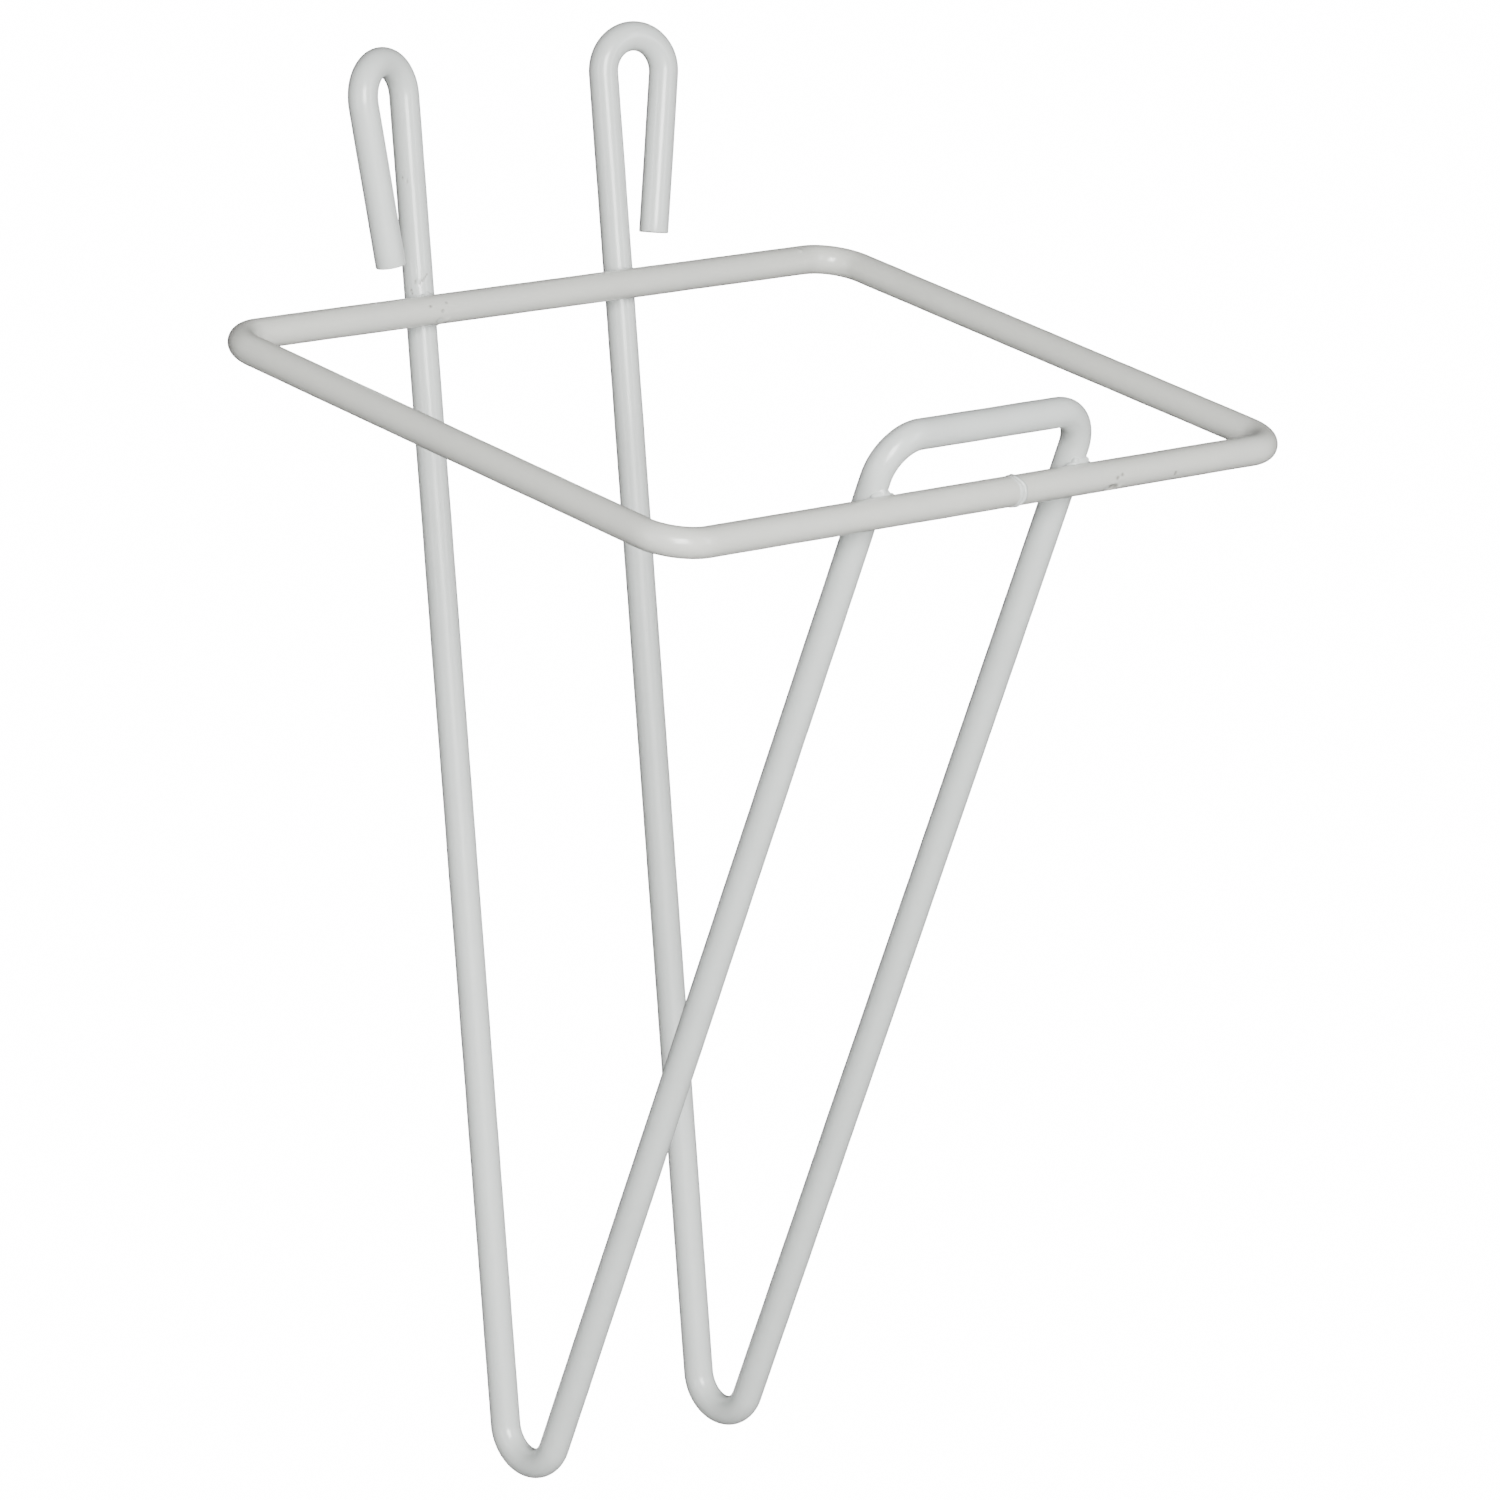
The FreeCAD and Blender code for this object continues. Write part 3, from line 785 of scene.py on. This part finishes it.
def make_surround(strength):
    """A dim room that the camera sees as white, dimmer overhead than at eye level."""
    world = bpy.data.worlds.new("studio")
    world.use_nodes = True
    tree = world.node_tree
    way = add_node(tree, "ShaderNodeTexCoord").outputs["Generated"]
    split = add_node(tree, "ShaderNodeSeparateXYZ", {"Vector": way})
    level = add_node(tree, "ShaderNodeMapRange",
                     {"Value": split.outputs["Z"], "From Min": 0.0, "From Max": 0.7,
                      "To Min": strength, "To Max": strength * 0.45})
    room = tree.nodes["Background"]
    room.inputs["Color"].default_value = (0.97, 0.985, 1.0, 1)
    tree.links.new(level.outputs["Result"], room.inputs["Strength"])
    white = add_node(tree, "ShaderNodeBackground", {"Color": (1, 1, 1, 1), "Strength": WHITE})
    output = tree.nodes["World Output"]
    surface = bright_for_camera(tree, room.outputs[0], white.outputs[0])
    tree.links.new(surface, output.inputs["Surface"])
    bpy.context.scene.world = world


def add_softbox(name, target, azimuth, elevation, distance, width, height, power, colour):
    """An area light aimed at target; azimuth is from the front towards the left."""
    outward = Vector((-math.sin(azimuth) * math.cos(elevation),
                      -math.cos(azimuth) * math.cos(elevation), math.sin(elevation)))
    deselect()
    bpy.ops.object.light_add(type="AREA", location=target + outward * distance,
                             rotation=facing(outward))
    light = bpy.context.object
    light.name = name
    light.data.shape = "RECTANGLE"
    light.data.size = width
    light.data.size_y = height
    light.data.energy = power
    light.data.color = colour


class BAGHOLDER_OT_stage(bpy.types.Operator):
    """Add the floor, the soft lights, the pale room and the camera"""
    bl_idname = "bag_holder.stage"
    bl_label = "Stage"

    def execute(self, context):
        stage = context.scene.bag_holder_stage
        make_floor(stage.floor_gap)
        make_surround(stage.surround)
        middle = Vector((0, -0.06, -0.1245))
        front = stage.azimuth
        add_softbox("front_softbox", middle, front - math.radians(14), math.radians(12), 1.9,
                    0.75, 1.0, stage.key_power, (1.0, 0.998, 0.985))
        add_softbox("left_strip", middle, front + math.radians(42), math.radians(10), 1.8,
                    0.10, 1.5, 0.12 * stage.key_power, (0.97, 0.99, 1.0))
        add_softbox("right_strip", middle, front - math.radians(62), math.radians(8), 1.8,
                    0.16, 1.5, 0.14 * stage.key_power, (0.97, 0.99, 1.0))
        self.add_camera(stage, middle)
        return {"FINISHED"}

    @staticmethod
    def add_camera(stage, middle):
        view = Vector((math.sin(stage.azimuth) * math.cos(stage.elevation),
                       math.cos(stage.azimuth) * math.cos(stage.elevation),
                       -math.sin(stage.elevation)))
        # In metres, how far right of and above the centre of the view the holder's middle lies.
        right_of_centre, above_centre = -0.0005, 0.0144
        deselect()
        bpy.ops.object.camera_add(rotation=(-view).to_track_quat("Z", "Y").to_euler())
        camera = bpy.context.object
        camera.name = "camera"
        camera.data.lens = stage.lens
        camera.data.sensor_width = 36
        turned = camera.rotation_euler.to_matrix() @ axis_turn(Z, -stage.roll)
        camera.rotation_euler = turned.to_euler()
        camera.location = middle - turned @ Vector((right_of_centre, above_centre,
                                                    -stage.distance))
        camera.data.clip_start = 0.01
        camera.data.clip_end = 100
        bpy.context.scene.camera = camera


class BAGHOLDER_PT_panel(bpy.types.Panel):
    """Lists the bag holder's pieces"""
    bl_idname = "BAGHOLDER_PT_panel"
    bl_label = "Bag Holder"
    bl_space_type = "VIEW_3D"
    bl_region_type = "UI"
    bl_category = "Bag Holder"

    def draw(self, context):
        for operator in OPERATORS:
            self.layout.operator(operator.bl_idname)


GROUPS = {
    "bag_holder_wire": WireSettings,
    "bag_holder_coat": CoatSettings,
    "bag_holder_stage": StageSettings,
}
OPERATORS = (
    BAGHOLDER_OT_frame_wire,
    BAGHOLDER_OT_hoop_wire,
    BAGHOLDER_OT_crossing_welds,
    BAGHOLDER_OT_butt_weld,
    BAGHOLDER_OT_stage,
)


def register():
    for kind in (*GROUPS.values(), *OPERATORS, BAGHOLDER_PT_panel):
        bpy.utils.register_class(kind)
    for name, kind in GROUPS.items():
        setattr(bpy.types.Scene, name, bpy.props.PointerProperty(type=kind))


def unregister():
    for name in GROUPS:
        delattr(bpy.types.Scene, name)
    for kind in (BAGHOLDER_PT_panel, *reversed(OPERATORS), *GROUPS.values()):
        bpy.utils.unregister_class(kind)


def main():
    register()
    bpy.ops.bag_holder.frame_wire()
    bpy.ops.bag_holder.hoop_wire()
    bpy.ops.bag_holder.crossing_welds()
    bpy.ops.bag_holder.butt_weld()
    bpy.ops.bag_holder.stage()
    deselect()


if __name__ == "__main__":
    main()
